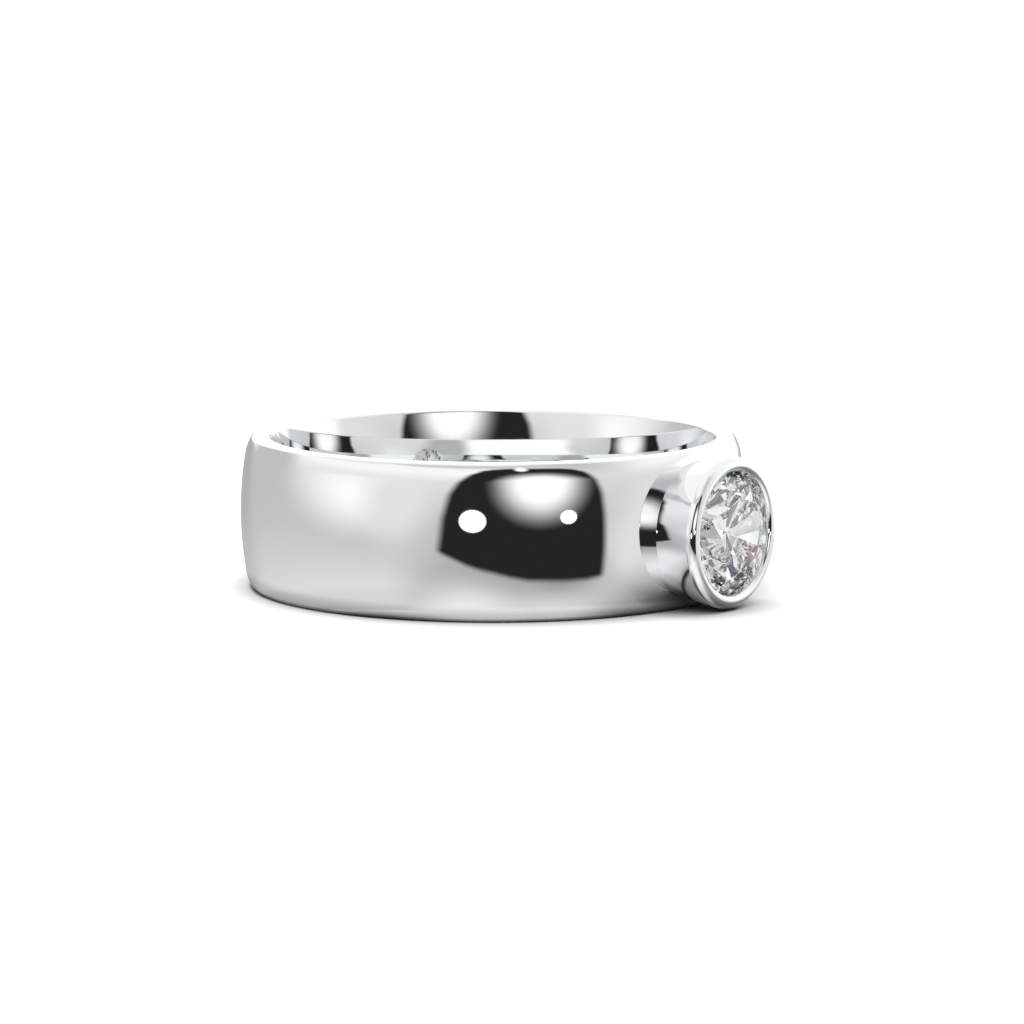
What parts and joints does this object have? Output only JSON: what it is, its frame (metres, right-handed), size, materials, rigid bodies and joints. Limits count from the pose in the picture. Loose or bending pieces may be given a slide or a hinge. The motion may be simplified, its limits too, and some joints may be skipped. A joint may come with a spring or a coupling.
{
  "type": "bezel set ring",
  "caption": "Wide domed finger ring with a rounded lip bezel holding a round brilliant-cut stone, comfort-fit inside.",
  "frame": {"origin": "centre of the finger hole, at mid width", "axes": "+Z along the finger hole's axis, up as the ring lies on its side; the stone looks along -Y"},
  "size_m": [0.02, 0.0218, 0.006],
  "materials": {
    "polished_white_gold": "mirror polished white gold",
    "clear_stone": "clear, cut and polished facets"
  },
  "bodies": {
    "root": {"band_with_bezel": "polished_white_gold", "stone": "clear_stone"}
  },
  "joints": []
}
